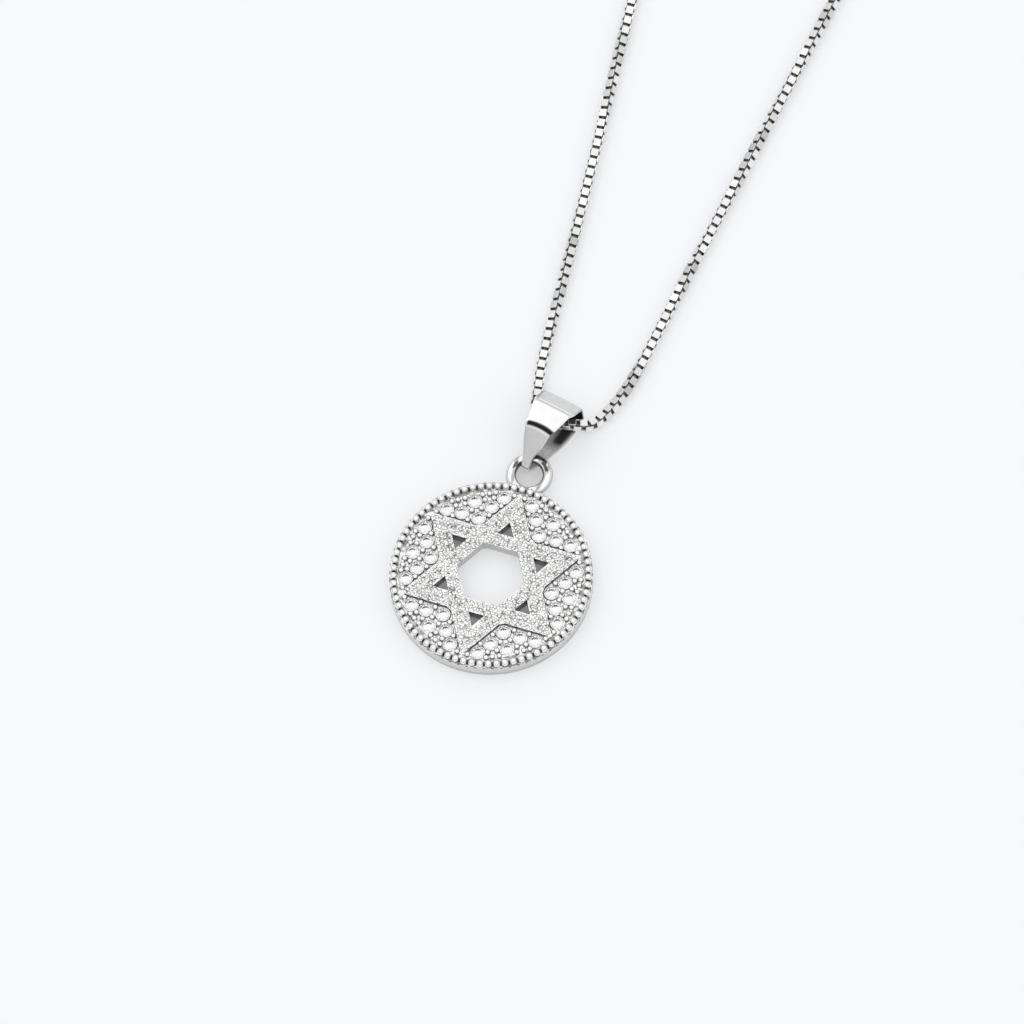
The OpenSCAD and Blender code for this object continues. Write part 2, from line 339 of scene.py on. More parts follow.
# %% The lamp
LAMP_RISE = math.radians(56)
LAMP_FROM = Vector((-0.934, 0.359, 0)).normalized()
LAMP_DISTANCE = 1.3
lamp_data = bpy.data.lights.new("soft_lamp", "AREA")
lamp_data.shape = "DISK"
lamp_data.size = 0.55
lamp_data.energy = 1.0
lamp = in_scene("soft_lamp", lamp_data)
lamp_way = LAMP_FROM * math.cos(LAMP_RISE) + Vector((0, 0, 1)) * math.sin(LAMP_RISE)
lamp.location = Vector((DISC_X, DISC_Y, 0)) + lamp_way * LAMP_DISTANCE
lamp.rotation_mode = "QUATERNION"
lamp.rotation_quaternion = lamp_way.to_track_quat("Z", "Y")
lamp.visible_camera = False
print("lamp in metres:", [round(v, 2) for v in lamp.location])

# %% The room's light
# How high a direction points, from 0 at the horizon to 1 overhead, and the light that comes from there
ROOM_LEVELS = [(0.0, 0.47), (0.22, 0.61), (0.45, 0.86), (0.75, 1.08), (1.0, 1.13)]
room = bpy.data.worlds.new("bright_room")
room.use_nodes = True
bpy.context.scene.world = room
room_tree = room.node_tree
room_ramp = room_tree.nodes.new("ShaderNodeValToRGB")
way_up = x_y_z(built("ShaderNodeTexCoord", {}, room_tree)["Generated"])["Z"]
room_colour = fill(room_ramp, {"Fac": way_up})["Color"]
fill(room_tree.nodes["Background"], {"Color": room_colour})
# A new ramp has stops at 0 and 1, and the others are added between them
for height, level in ROOM_LEVELS[1:-1]:
    room_ramp.color_ramp.elements.new(height)
for stop, (height, level) in zip(room_ramp.color_ramp.elements, ROOM_LEVELS):
    stop.color = (level, level, level, 1)
bpy.context.scene.view_settings.view_transform = "Standard"
print("room levels from horizon to overhead:", [level for height, level in ROOM_LEVELS])

# %% [markdown]
# ## The paper
# Light sinks into thick white paper and comes out again a few millimetres away, so shadows on it are pale. A faint
# glow of the paper itself does the same at no cost. Little light gets in under the metal plate, so it glows less
# there, as the small windows show.

# %% Paper that glows a little
PAPER = (0.508, 0.513, 0.52, 1)
GLOW_STRENGTH = 0.43
GLOW = (0.977, 0.985, 1, 1)
# Inner and outer radius under the plate, and the softness of both edges
UNDER_PLATE = (3.4 * MM, 9 * MM, 0.1 * MM)
GLOW_UNDER_PLATE = (0.25, 0.253, 0.257, 1)
# Where the paper is seen through the pendant's ring, and the radii between which its shade fades out
RING_VIEW = (-0.27, 11.28, 0)
RING_SHADE = (1.2 * MM, 1.9 * MM)
GLOW_IN_RING = (0.66, 0.665, 0.675, 1)
paper, paper_tree, paper_shader = new_material("white_paper")
paper_place = built("ShaderNodeTexCoord", {}, paper_tree)["Object"]
from_disc = vector_node("DISTANCE", paper_place, DISC_MIDDLE)["Value"]
from_ring_view = vector_node("DISTANCE", paper_place, from_pendant(RING_VIEW))["Value"]
in_ring = step(from_ring_view, *RING_SHADE, 1.0, 0.0)
glow_near_ring = mix_colour(in_ring, GLOW, GLOW_IN_RING)
under_plate = between(from_disc, *UNDER_PLATE)
fill(paper_shader, {
    "Base Color": PAPER, "Roughness": 1, "Specular IOR Level": 0, "Emission Strength": GLOW_STRENGTH,
    "Emission Color": mix_colour(under_plate, glow_near_ring, GLOW_UNDER_PLATE),
})
floor_mesh.materials.append(paper)
print("glow in the open and under the plate:", GLOW[:3], GLOW_UNDER_PLATE[:3])

# %% [markdown]
# ## The silver finish
# Rhodium-plated silver is almost white and very smooth, yet never perfect: the polishing wheel leaves fine
# hairlines and the surface rolls gently. The first group makes hairlines and gentle waves out of noise, the second
# darkens and dulls whatever a mask calls a hollow: the darkening is painted shade, where polished silver mirrors
# little of the bright room.

# %% Group: hairlines and waves of a polished surface
VECTOR, NUMBER, COLOUR = "NodeSocketVector", "NodeSocketFloat", "NodeSocketColor"
STREAKS_TURN = (0.3, 0.2, 0.9)
polish, polish_in, polish_end = new_group(
    "polish_marks",
    {"Position": VECTOR, "Hairlines": NUMBER, "Waves": NUMBER},
    {"Tone": NUMBER, "Height": NUMBER},
)


def noise(position, scale, detail=2.0, stretch=None):
    """Noise at a scale per millimetre, turned and stretched if asked. Returns its value."""
    if stretch:
        stretched = {"Vector": position, "Scale": stretch, "Rotation": STREAKS_TURN}
        position = built("ShaderNodeMapping", stretched)["Vector"]
    return built("ShaderNodeTexNoise", {"Vector": position, "Scale": scale, "Detail": detail})["Fac"]


waves = noise(polish_in["Position"], 0.9)
lines_one_way = noise(polish_in["Position"], 2.0, 3.0, (0.6, 9.0, 2.0))
lines_other_way = noise(polish_in["Position"], 2.4, 3.0, (8.0, 0.7, 2.0))
line_share = product(lines_one_way, lines_other_way, polish_in["Hairlines"])
wave_share = product(waves, polish_in["Waves"])
marks_together = math_node("ADD", line_share, wave_share)
fill(polish_end, {"Height": marks_together, "Tone": step(marks_together, 0.15, 0.65)})

# %% Group: dull dark hollows and bright raised places
hollows, hollows_in, hollows_end = new_group(
    "hollows",
    {"Shade": NUMBER, "Tone": NUMBER, "Bright": COLOUR, "Dark": COLOUR, "Smooth": NUMBER, "Dull": NUMBER},
    {"Colour": COLOUR, "Roughness": NUMBER},
)
WORN_SILVER = (0.86, 0.865, 0.86, 1)
WORN_ROUGHER = 0.06
toned = mix_colour(hollows_in["Tone"], hollows_in["Bright"], WORN_SILVER)
smooth_toned = math_node("ADD", hollows_in["Smooth"], product(hollows_in["Tone"], WORN_ROUGHER))
fill(hollows_end, {
    "Colour": mix_colour(hollows_in["Shade"], hollows_in["Dark"], toned),
    "Roughness": mix_number(hollows_in["Shade"], hollows_in["Dull"], smooth_toned),
})
print("groups:", [group.name for group in bpy.data.node_groups])

# %% A material from the two groups
SILVER_BRIGHT = (0.94, 0.938, 0.93, 1)
SILVER_DARK = (0.045, 0.048, 0.045, 1)
MARKS_DEEP = 0.02 * MM


def silver_material(name, shade, smooth=0.1, dull=0.4, hairlines=0.6, waves=0.5, bump=0.04, metal=None,
                    dark=SILVER_DARK):
    """Polished silver whose hollows follow shade(position): 1 where it is bright, 0 where it is darkest.
    Where metal(position) is under 1, a film of tarnish and polish scatters the light."""
    material, tree, shader = new_material(name)
    position = millimetres(tree, DISC_MIDDLE)
    surface = place_group(polish, Position=position, Hairlines=hairlines, Waves=waves)
    finish = place_group(
        hollows, Shade=shade(position), Tone=surface["Tone"], Bright=SILVER_BRIGHT, Dark=dark, Smooth=smooth,
        Dull=dull,
    )
    relief = {"Strength": bump, "Distance": MARKS_DEEP, "Height": surface["Height"]}
    fill(shader, {
        "Base Color": finish["Colour"], "Roughness": finish["Roughness"],
        "Metallic": metal(position) if metal else 1,
        "Normal": built("ShaderNodeBump", relief)["Normal"],
    })
    return material


def marked(name, low=0.0, high=1.0, dim=0.0):
    """A shade read from a number stored on the piece's own points: dim where it is low, 1 where it is high."""
    def shade(position):
        value = built("ShaderNodeAttribute", {}, position.id_data, attribute_name=name)["Fac"]
        return step(value, low, high, dim, 1.0)
    return shade


# %% [markdown]
# ## The box chain
# A box chain is made of small square rings bent from flat strip, each turned a quarter turn against the last and
# threaded through it. Modelling one link and copying it with a modifier along a curve would work, but the links
# must follow the route that the plain chain takes in the frame and roll over where the real chain is twisted near
# the bail. So the links are one formula: a rounded rectangle in the link's own plane, carried along the route.

# %% The route and its evenly spaced places
REST_Z = 0.58
CLASP_Y = 222.8
CLASP_Z = 1.6
# Across and along from the disc's middle, in millimetres, and up where the chain doesn't rest on the table
ROUTE = [
    (7.2, CLASP_Y, CLASP_Z), (8.9, CLASP_Y, 1.55), (12, 221.9, 1), (15.5, 220.2), (20, 216.9), (24.6, 211.7),
    (27.6, 205.1), (28.6, 197.8), (27.6, 188.5), (25, 170), (21, 140), (17.1, 110), (13.2, 80), (10.3, 57.6),
    (7.9, 39.2), (6.8, 30.4), (6, 24), (5.45, 21), (4.65, 18.7), (3.75, 17.2, 0.72), (2.9, 16.75, 0.93),
    (1.7, 16.45, 1.06), (0.5, 16.15, 1.06), (-0.5, 16.25, 1.06), (-1.3, 16.8, 1.04), (-1.78, 17.8, 0.85),
    (-2.05, 19.1, 0.62), (-2.45, 21), (-2.8, 24), (-3.4, 30.4), (-4.3, 39.2), (-6.3, 57.6), (-8.7, 80),
    (-11.9, 110), (-15.1, 140), (-18.3, 170), (-20.3, 188.5), (-21.4, 197.8), (-20.4, 205.1), (-17.4, 211.7),
    (-12.8, 216.9), (-8.3, 220.2), (-4.8, 221.9, 1), (-1.7, CLASP_Y, 1.55), (0, CLASP_Y, CLASP_Z),
]
STEPS_A_SPAN = 60


def smooth_route(route, steps):
    """A Catmull-Rom curve through the route: each span is the cubic that passes its two ends with slopes of half
    the step between their neighbours."""
    padded = np.concatenate([route[:1], route, route[-1:]])
    a, b, c, d = (padded[k:len(padded) - 3 + k, None] for k in range(4))
    t = (np.arange(steps) / steps)[None, :, None]
    spans = 0.5 * (2 * b + (c - a) * t + (2 * a - 5 * b + 4 * c - d) * t**2 + (3 * b - a - 3 * c + d) * t**3)
    return np.concatenate([spans.reshape(-1, 3), route[-1:]])


fine_route = smooth_route(np.array([(*place, REST_Z)[:3] for place in ROUTE]), STEPS_A_SPAN)
fine_length = lengthwise(fine_route)
LINK_PITCH = 0.4995
link_count = int(round(fine_length[-1] / LINK_PITCH))
link_places = (np.arange(link_count) + 0.5) * fine_length[-1] / link_count
link_middle = together(*(np.interp(link_places, fine_length, column) for column in fine_route.T))
link_ahead = unit(np.gradient(link_middle, axis=0))
print("route in mm:", round(fine_length[-1], 1), "links:", link_count)

# %% How the chain rolls over on its way through the bail
# Place along the chain in millimetres and its roll there in degrees
ROLL = np.array([
    (0, 0), (158, 0), (171.7, 62), (175.4, 66), (177.3, 76), (179.3, 99), (182.9, 115), (186.6, 138), (190.6, 159),
    (193.7, 185), (196, 197), (198.7, 210), (200, 221), (201.6, 243), (203.4, 258), (206.6, 276), (209.1, 283),
    (212, 295), (214, 316), (215.6, 332), (217, 338), (218.9, 348), (222, 350), (225.6, 442), (229.3, 444),
    (231.5, 453), (235.2, 485), (237.2, 502), (239.1, 514), (242, 524), (247, 532), (252.1, 536), (254, 549),
    (256, 564), (258.9, 578), (260.9, 598), (263, 614), (266, 624), (270, 630), (443, 630),
])
link_roll = np.radians(np.interp(link_places, *ROLL.T))[:, None]
level_side = unit(np.cross(link_ahead, (0, 0, 1)))
level_top = np.cross(level_side, link_ahead)
rolled_side = level_side * np.cos(link_roll) + level_top * np.sin(link_roll)
rolled_top = np.cross(link_ahead, rolled_side)
quarter_turned = (np.arange(link_count) % 2)[:, None] == 1
link_across = np.where(quarter_turned, rolled_top, rolled_side)
link_wide = np.where(quarter_turned, -rolled_side, rolled_top)
print("turns that the chain makes:", round(link_roll[-1, 0] / (2 * math.pi), 2))

# %% One link, and all of them
LINK_LONG = 0.76
LINK_HIGH = 0.96
END_THICK = 0.12
SIDE_THICK = 0.165
STRIP_WIDE = 0.66
OUTER_CORNER = 0.08
INNER_CORNER = 0.04
STRIP_CHAMFER = 0.04
CORNER_STEPS = 3
CORNERS_DARKEN = 8

corner_turn = np.radians(np.linspace(0, 90, CORNER_STEPS))
link_turn = np.concatenate([corner_turn + k * math.pi / 2 for k in range(4)])
link_out = together(np.cos(link_turn), np.sin(link_turn))
corner_signs = np.repeat([(1, 1), (-1, 1), (-1, -1), (1, -1)], CORNER_STEPS, axis=0)


def rounded_rectangle(long, high, radius):
    """Each corner's centre plus the radius in a direction that turns a quarter: points along and across a link."""
    return corner_signs * (np.array([long, high]) / 2 - radius) + radius * link_out


outer_edge = rounded_rectangle(LINK_LONG, LINK_HIGH, OUTER_CORNER)
inner_edge = rounded_rectangle(LINK_LONG - 2 * END_THICK, LINK_HIGH - 2 * SIDE_THICK, INNER_CORNER)
half_wide = STRIP_WIDE / 2
flat_wide = half_wide - STRIP_CHAMFER
strip_wide = np.array([-flat_wide, flat_wide, half_wide, half_wide, -half_wide, -half_wide])
# The strip's section, point by point: depth, normal across the strip, normal outwards, brightness as painted shade
strip_deep, strip_normal_wide, strip_normal_out, strip_bright = np.array([
    (0, 0, 1, 1), (0, 0, 1, 1), (0.25, 1, 0, 0.9), (1, 0.7, -0.7, 0), (1, -0.7, -0.7, 0), (0.25, -1, 0, 0.9),
]).T


def carried(in_plane, sideways):
    """Every link's points: its own ahead and across directions times the in-plane numbers, plus its wide direction
    times the sideways ones."""
    return (
        link_ahead[:, None, None] * in_plane[None, ..., :1] + link_across[:, None, None] * in_plane[None, ..., 1:]
        + link_wide[:, None, None] * sideways[None, None, :, None]
    )


link_section = outer_edge[:, None] + (inner_edge - outer_edge)[:, None] * strip_deep[None, :, None]
link_points = link_middle[:, None, None] + carried(link_section, strip_wide)
link_normals = carried(link_out[:, None] * strip_normal_out[None, :, None], strip_normal_wide)
points_a_link = len(link_turn) * len(strip_wide)
link_faces = repeated(grid_faces(len(link_turn), len(strip_wide), True, True)[:, ::-1], points_a_link, link_count)
# Painted shade: the links' corners and inner faces are dark, as dark bars where the links shade each other
link_bright = np.broadcast_to(strip_bright * np.sin(link_turn)[:, None] ** CORNERS_DARKEN, link_points.shape[:3])

# %% The packed inside
# The neighbours' ends fill a link's inside. One bar that runs along within all links stands for them, painted
# dark all along as painted shade.
PACKED_HALF = 0.23
packed_corners = PACKED_HALF * np.array([(1, 1), (-1, 1), (-1, -1), (1, -1)])
packed_points = (
    link_middle[:, None] + rolled_side[:, None] * packed_corners[None, :, :1]
    + rolled_top[:, None] * packed_corners[None, :, 1:]
)
packed_count = link_count * len(packed_corners)
links_end = link_count * points_a_link
packed_faces = grid_faces(link_count, len(packed_corners), False, True) + links_end
packed_ends = np.array([(3, 2, 1, 0), (-4, -3, -2, -1)]) % packed_count + links_end
packed_normals = packed_points - link_middle[:, None]
print("the packed inside in mm:", round(2 * PACKED_HALF, 2), "square")

# %% How bright each plate is
PACKED_BRIGHT = 0.5
PLATE_BRIGHTEST = 0.93
PLATE_SPREAD = 0.22
PLATE_SEED = 7
# Stretches where the plates are painted darker: middle along the chain, half length, share taken off
DARKER_STRETCHES = np.array([
    (178, 7, 0.11), (191.2, 1.4, 0.22), (202, 1.6, 0.15), (212.6, 1.6, 0.27), (232, 1.5, 0.2), (240.7, 2.4, 0.24),
    (255, 2.2, 0.14), (261.6, 1.6, 0.23),
])
plate_draw = PLATE_BRIGHTEST - PLATE_SPREAD * np.random.default_rng(PLATE_SEED).uniform(0, 1, link_count) ** 2
darker_middle, darker_half, darker_share = DARKER_STRETCHES.T
plate_draw = plate_draw * (1 - np.exp(-((link_places[:, None] - darker_middle) / darker_half) ** 4) @ darker_share)
chain_plate = np.concatenate([np.repeat(plate_draw, points_a_link), np.full(packed_count, PACKED_BRIGHT)])
print("plates from", round(plate_draw.min(), 2), "to", round(plate_draw.max(), 2))

# %% All links in one mesh
chain_points = np.concatenate([link_points.reshape(-1, 3), packed_points.reshape(-1, 3)])
chain_normals = unit(np.concatenate([link_normals.reshape(-1, 3), packed_normals.reshape(-1, 3)]))
# The packed bar's brightness is 0 all along: painted shade.
chain_bright = np.concatenate([link_bright.ravel(), np.zeros(packed_count)])
chain_links = make_piece(
    "chain_links", chain_points, [link_faces, packed_faces, packed_ends], chain_normals,
    bright=chain_bright, plate=chain_plate,
)


def chain_shade(position):
    """Painted shade in the links' corners and insides, and a little darker on some links than on others."""
    return product(marked("bright", high=0.15, dim=0.31)(position), marked("plate")(position))


chain_links.data.materials.append(
    silver_material("chain_silver", chain_shade, smooth=0.27, dull=0.5, hairlines=0.3, waves=0.4)
)
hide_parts("chain")
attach(chain_links, "root")

# %% [markdown]
# ## The bail
# The bail is one pointed strap of sheet silver, folded into a loop round the chain and closed on the pendant's
# ring. The profile is the loop seen from the side, and a rounded section is carried along it while its width grows
# from the tip. Under the crest the sheet was scored before it was folded; the score is a shallow groove, painted
# almost black as painted shade.

# %% The loop seen from the side
STRAP_T = 0.3
STRAP_HALF = 2.03
TIP_HALF = 0.33
STRAP_TAPER = 0.22
WAIST = 0.12
WAIST_AT = 1.5
WAIST_HALF = 0.9
BACK_SPREAD = math.radians(13.5)
BAIL_AT = np.array([-0.51, 10.99, 0])
BAIL_TURN = math.radians(-11)
# Place along the pendant, height and radius of each fold
BAIL_CORNERS = np.array([
    (0, 1.05, 0.45), (3, 4.42, 0.42), (5.35, 4.45, 0.7), (7.3, 2.55, 0.8), (7.45, 0.06, 0.6), (0.4, 0.06, 0.42),
])


def fold(corner, before, after, steps=24):
    """Outer and inner points of one rounded fold: an arc of the corner's radius between the two straight sides,
    and the same arc a strap's thickness nearer to its centre."""
    here, radius = corner[:2], corner[2]
    back, ahead = unit(before[:2] - here), unit(after[:2] - here)
    half = math.acos(float(back @ ahead)) / 2
    centre = here + unit(back + ahead) * radius / math.sin(half)
    first = here + back * radius / math.tan(half) - centre
    last = here + ahead * radius / math.tan(half) - centre
    swept = math.pi - 2 * half
    t = np.linspace(0, 1, steps)[:, None]
    spoke = (np.sin((1 - t) * swept) * first + np.sin(t * swept) * last) / math.sin(swept)
    return np.concatenate([centre + spoke, centre + spoke * (radius - STRAP_T) / radius], axis=1)


folds = [
    fold(corner, BAIL_CORNERS[k - 1], BAIL_CORNERS[(k + 1) % len(BAIL_CORNERS)])
    for k, corner in enumerate(BAIL_CORNERS)
]
loop = np.concatenate([*folds, folds[0][:1]])
loop_length = lengthwise(loop[:, :2])
strap_long = loop_length[-1]
STRAP_STEP = 0.05
stations = int(strap_long / STRAP_STEP)
strap_at = np.arange(stations) * strap_long / stations
outer_inner = together(*(np.interp(strap_at, loop_length, column) for column in loop.T))
crest_starts = loop_length[len(folds[0])]
back_face_starts = loop_length[3 * len(folds[0]) - 1]
print("strap's length in mm:", round(strap_long, 2), "crest begins at:", round(crest_starts, 2))

# %% The rounded section carried round the loop
EDGE_ROUND = 0.1
CROWN = 0.075
SCORE_AT = crest_starts + 0.31
SCORE_HALF = 0.24
SCORE_WIDE = 1.2
SCORE_TILT = 0.045
SCORE_BOW = -0.185
SCORE_DEEP = 0.06
HOLLOW_BEFORE = 0.07
# Place along the strap and how far it leans aside there
LEAN = np.array([
    (0, 0.1), (1.6, 0.21), (4.4, 0.21), (5.3, 0.09), (7.3, 0.05), (strap_long - 1, 0), (strap_long, 0.1),
])
FACE_POINTS = 17
EDGE_POINTS = 7
waist = WAIST * np.exp(-((strap_at - WAIST_AT) / WAIST_HALF) ** 2)
front_half = np.minimum(STRAP_HALF, TIP_HALF + STRAP_TAPER * strap_at - waist)
back_turn = np.minimum(math.pi / 2, BACK_SPREAD * (strap_long - strap_at))
back_half = np.maximum(TIP_HALF, STRAP_HALF * np.sin(back_turn))
strap_half = np.minimum(front_half, back_half)
lean = -np.interp(strap_at, *LEAN.T)

face_share = np.linspace(-1, 1, FACE_POINTS)
edge_turn = np.radians(np.linspace(90, -90, EDGE_POINTS + 2)[1:-1])
section_share = np.concatenate([face_share, np.full(EDGE_POINTS, 1.0), -face_share, np.full(EDGE_POINTS, -1.0)])
section_edge = np.concatenate([np.zeros(FACE_POINTS), np.cos(edge_turn), np.zeros(FACE_POINTS), -np.cos(edge_turn)])
section_deep = np.concatenate([
    np.zeros(FACE_POINTS), (1 - np.sin(edge_turn)) / 2, np.ones(FACE_POINTS), (1 + np.sin(edge_turn)) / 2,
])


def score_line(share):
    """Where the score runs: a place along the strap, plus a tilt times the share of the half width, plus a bow
    times its square."""
    return SCORE_AT + SCORE_TILT * share + SCORE_BOW * share**2


def strap_surface(at, outer, inner, half, aside):
    """outer + (inner - outer) * depth, moved sideways by share * half width. The outer face is crowned towards its
    edges, less where it is narrow, a rounded score runs across it at SCORE_AT, and all is moved aside a little."""
    across = section_share * (half[:, None] - EDGE_ROUND) + section_edge * EDGE_ROUND
    crown = CROWN * (half[:, None] / STRAP_HALF) * (across / half[:, None]) ** 4 * (1 - section_deep)
    score_from = at[:, None] - score_line(section_share)
    score = SCORE_DEEP * np.exp(-((score_from + HOLLOW_BEFORE) / SCORE_HALF) ** 2) * (section_deep == 0)
    depth = section_deep + (crown + score) / STRAP_T
    side_view = outer[:, None] + (inner - outer)[:, None] * depth[..., None]
    return np.concatenate([(across + aside[:, None])[..., None], side_view], axis=2)


strap_local = strap_surface(strap_at, outer_inner[:, :2], outer_inner[:, 2:], strap_half, lean)
turn_bail = np.array([
    (math.cos(BAIL_TURN), -math.sin(BAIL_TURN), 0),
    (math.sin(BAIL_TURN), math.cos(BAIL_TURN), 0),
    (0, 0, 1),
])
strap_points = strap_local @ turn_bail.T + BAIL_AT
strap_faces = grid_faces(stations, len(section_share), True, True)
print("strap's sections and points in each:", strap_points.shape[:2])

# %% Where the strap is dark
SCORE_DARK = 0.98
INSIDE_GREY = 0.34
PATCH_DARK = 0.6
FOLD_DARK = 0.92
# Distances from the strap's end at which painted shade on its inside turns grey, a painted dark reflection begins
# as a patch, and the fold turns dark
GREY_FROM, PATCH_FROM, FOLD_FROM = 3.2, 3.9, 5.7
# Painted shade: how much darker the back face, the front leaf towards its tip and its left edge are painted
BACK_PAINTED_DARKER = 0.3
TIP_PAINTED_DARKER = 0.14
LEFT_PAINTED_DARKER = 0.12


def ramp(value, start, width):
    """0 up to start, 1 past start + width, and a straight rise between them."""
    return np.clip((value - start) / width, 0, 1)


along_strap = strap_at[:, None]
from_back_tip = strap_long - along_strap
score_from = along_strap - score_line(section_share)
# Painted shade: the score's groove is painted almost black
score_mark = np.exp(-(score_from / (SCORE_WIDE * SCORE_HALF)) ** 4) * (section_deep < 0.5)
score_mark = score_mark * ramp(section_share, -0.97, 0.1)
inside_mark = ramp(section_deep, 0.8, 0.2)
greyer = ramp(from_back_tip, GREY_FROM, 0.6) * ramp(-section_share, -1.07, 0.2)
patch = ramp(from_back_tip, PATCH_FROM, 0.5) * ramp(section_share, 0.3, 0.2) * ramp(-section_share, -0.95, 0.1)
in_fold = FOLD_DARK * ramp(from_back_tip, FOLD_FROM, 0.7)
inside_painted_shade = np.maximum(INSIDE_GREY * greyer + PATCH_DARK * patch, in_fold)
back_face = ramp(along_strap, back_face_starts, 0.3)
tip_leaf = ramp(-along_strap, -2.4, 2.4) * (score_from < 0)
left_edge = ramp(-section_share, 0.625, 0.25) * (score_from < 0)
strap_bright = (1 - SCORE_DARK * score_mark) * (1 - inside_mark * inside_painted_shade) * (1 - BACK_PAINTED_DARKER * back_face)
strap_bright = strap_bright * (1 - TIP_PAINTED_DARKER * tip_leaf) * (1 - LEFT_PAINTED_DARKER * left_edge)
bail_strap = make_piece("bail_strap", strap_points, [strap_faces], bright=strap_bright, outside=1 - inside_mark)


def bail_shade(position):
    """The marked brightness, which carries the painted shade, and inside the strap streaks along it."""
    streaks = step(noise(position, 3.0, 3.0, (4.0, 1.2, 1.2)), 0.35, 0.65, 0.7, 1.0)
    streaked = mix_number(marked("outside")(position), streaks, 1.0)
    return product(marked("bright")(position), streaked)


bail_strap.data.materials.append(silver_material(
    "bail_silver", bail_shade, smooth=0.09, dull=0.35, hairlines=0.7, waves=0.6, bump=0.05,
    metal=marked("outside"), dark=(0.015, 0.015, 0.015, 1),
))
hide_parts("bail")
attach(bail_strap, "root")

# %% [markdown]
# ## The clasp
# The chain closes in a small screw barrel. It is a turned part, so its shape is a profile of radius against
# length, swept round the axis. The grip has shallow flutes, so the radius also falls a little between them.

# %% The turned and fluted barrel
CLASP_MIDDLE = np.array([3.6, CLASP_Y, CLASP_Z])
CLASP_SIDES = 96
FLUTES = 16
FLUTE_DEEP = 0.09
GROOVE_AT = 1.61
GROOVE_R = 1.46
SOCKET_R = 0.7
SEAM_HALF = 0.06
MARK_DARK = 0.85
# Distance from the barrel's middle and radius there, from the chain's socket to the middle
turned = np.array([
    (3.4, 0), (3.4, 0.6), (3.46, 0.66), (4.4, 0.66), (4.47, 0.69), (4.5, 0.74), (4.5, 0.86), (4.47, 0.93),
    (4.4, 0.96), (4.1, 0.96), (4.05, 0.9), (3.95, 0.9), (3.9, 0.96), (3.3, 0.97), (3.1, 1.02), (2.8, 1.15),
    (2.5, 1.3), (2.2, 1.41), (1.9, 1.47), (1.7, 1.49), (1.66, 1.44), (1.56, 1.44), (1.52, 1.5), (1.5, 1.57),
    (1.44, 1.6), (1.2, 1.6), (0.8, 1.6), (0.4, 1.6), (0.12, 1.6), (0.07, 1.58), (0.05, 1.5), (0, 1.49),
])
profile = np.concatenate([turned, turned[-2::-1] * (-1, 1)])
barrel_turn = (np.arange(CLASP_SIDES) * 2 * math.pi / CLASP_SIDES)[None]
place, out = profile[:, :1], profile[:, 1:]
grip = ramp(-np.abs(place), -1.5, 0.2) * ramp(np.abs(place), 0.1, 0.1)
radius = out - FLUTE_DEEP * grip * (0.5 - 0.5 * np.cos(FLUTES * barrel_turn)) ** 2
clasp_points = together(place, radius * np.cos(barrel_turn), radius * np.sin(barrel_turn))[1:-1] + CLASP_MIDDLE
turned_rows = len(profile) - 2
barrel_faces = grid_faces(turned_rows, CLASP_SIDES, False, True)[:, ::-1]
first_ring = np.arange(CLASP_SIDES)
end_caps = np.array([first_ring, first_ring[::-1] + (turned_rows - 1) * CLASP_SIDES])
place, out = np.abs(place[1:-1]), out[1:-1]
# Painted shade in the groove and on the ends round the socket, and a dark seam where the halves meet
groove_mark = np.clip(1.2 - 6 * np.abs(place - GROOVE_AT), 0, 1) * (out < GROOVE_R)
dark_marks = np.clip(groove_mark + (out < SOCKET_R) + (place < SEAM_HALF), 0, 1)
barrel_bright = 1 - MARK_DARK * dark_marks
barrel_clasp = make_piece("barrel_clasp", clasp_points, [barrel_faces, end_caps], bright=barrel_bright)
barrel_clasp.data.set_sharp_from_angle(angle=math.radians(50))
barrel_clasp.data.materials.append(silver_material("clasp_silver", marked("bright"), dull=0.45, hairlines=0.8))
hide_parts("clasp")
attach(barrel_clasp, "root")

# %% [markdown]
# ## Granulation on the star
# The star's face is not smooth: it is covered with tiny close-set domes, like millet seed. A bump texture would
# vanish from the side, so the domes are real, but each has only a few dozen faces. They stand in rows a little out
# of true, shifted by a seeded draw, and only where the whole dome fits on the star.

# %% Where the domes stand
STAR_Z = 1.7
STAR_EDGE = 4.18
STAR_TRIM = 8.3
WINDOW_FLAT = 3.26 * math.cos(math.radians(30))
SMALL_WINDOW_OUT = 4.5
SMALL_WINDOW_FLAT = 0.87 / 2
DOME_PITCH = 0.35
DOME_R = 0.2
DOME_HIGH = 0.1
DOME_SHIFT = 0.08
DOME_ROOM = 0.1
SPOT_REACH = 9
EXTRA_ROWS = 4
SPOT_SEED = 36


def ways(degrees):
    """Unit vectors in the plane at these angles, one a row."""
    turn = np.radians(np.asarray(degrees, float))
    return together(np.cos(turn), np.sin(turn))


def beyond(points, degrees):
    """How far each point lies out, measured along the farthest of these directions."""
    return (points @ ways(degrees).T).max(axis=1)


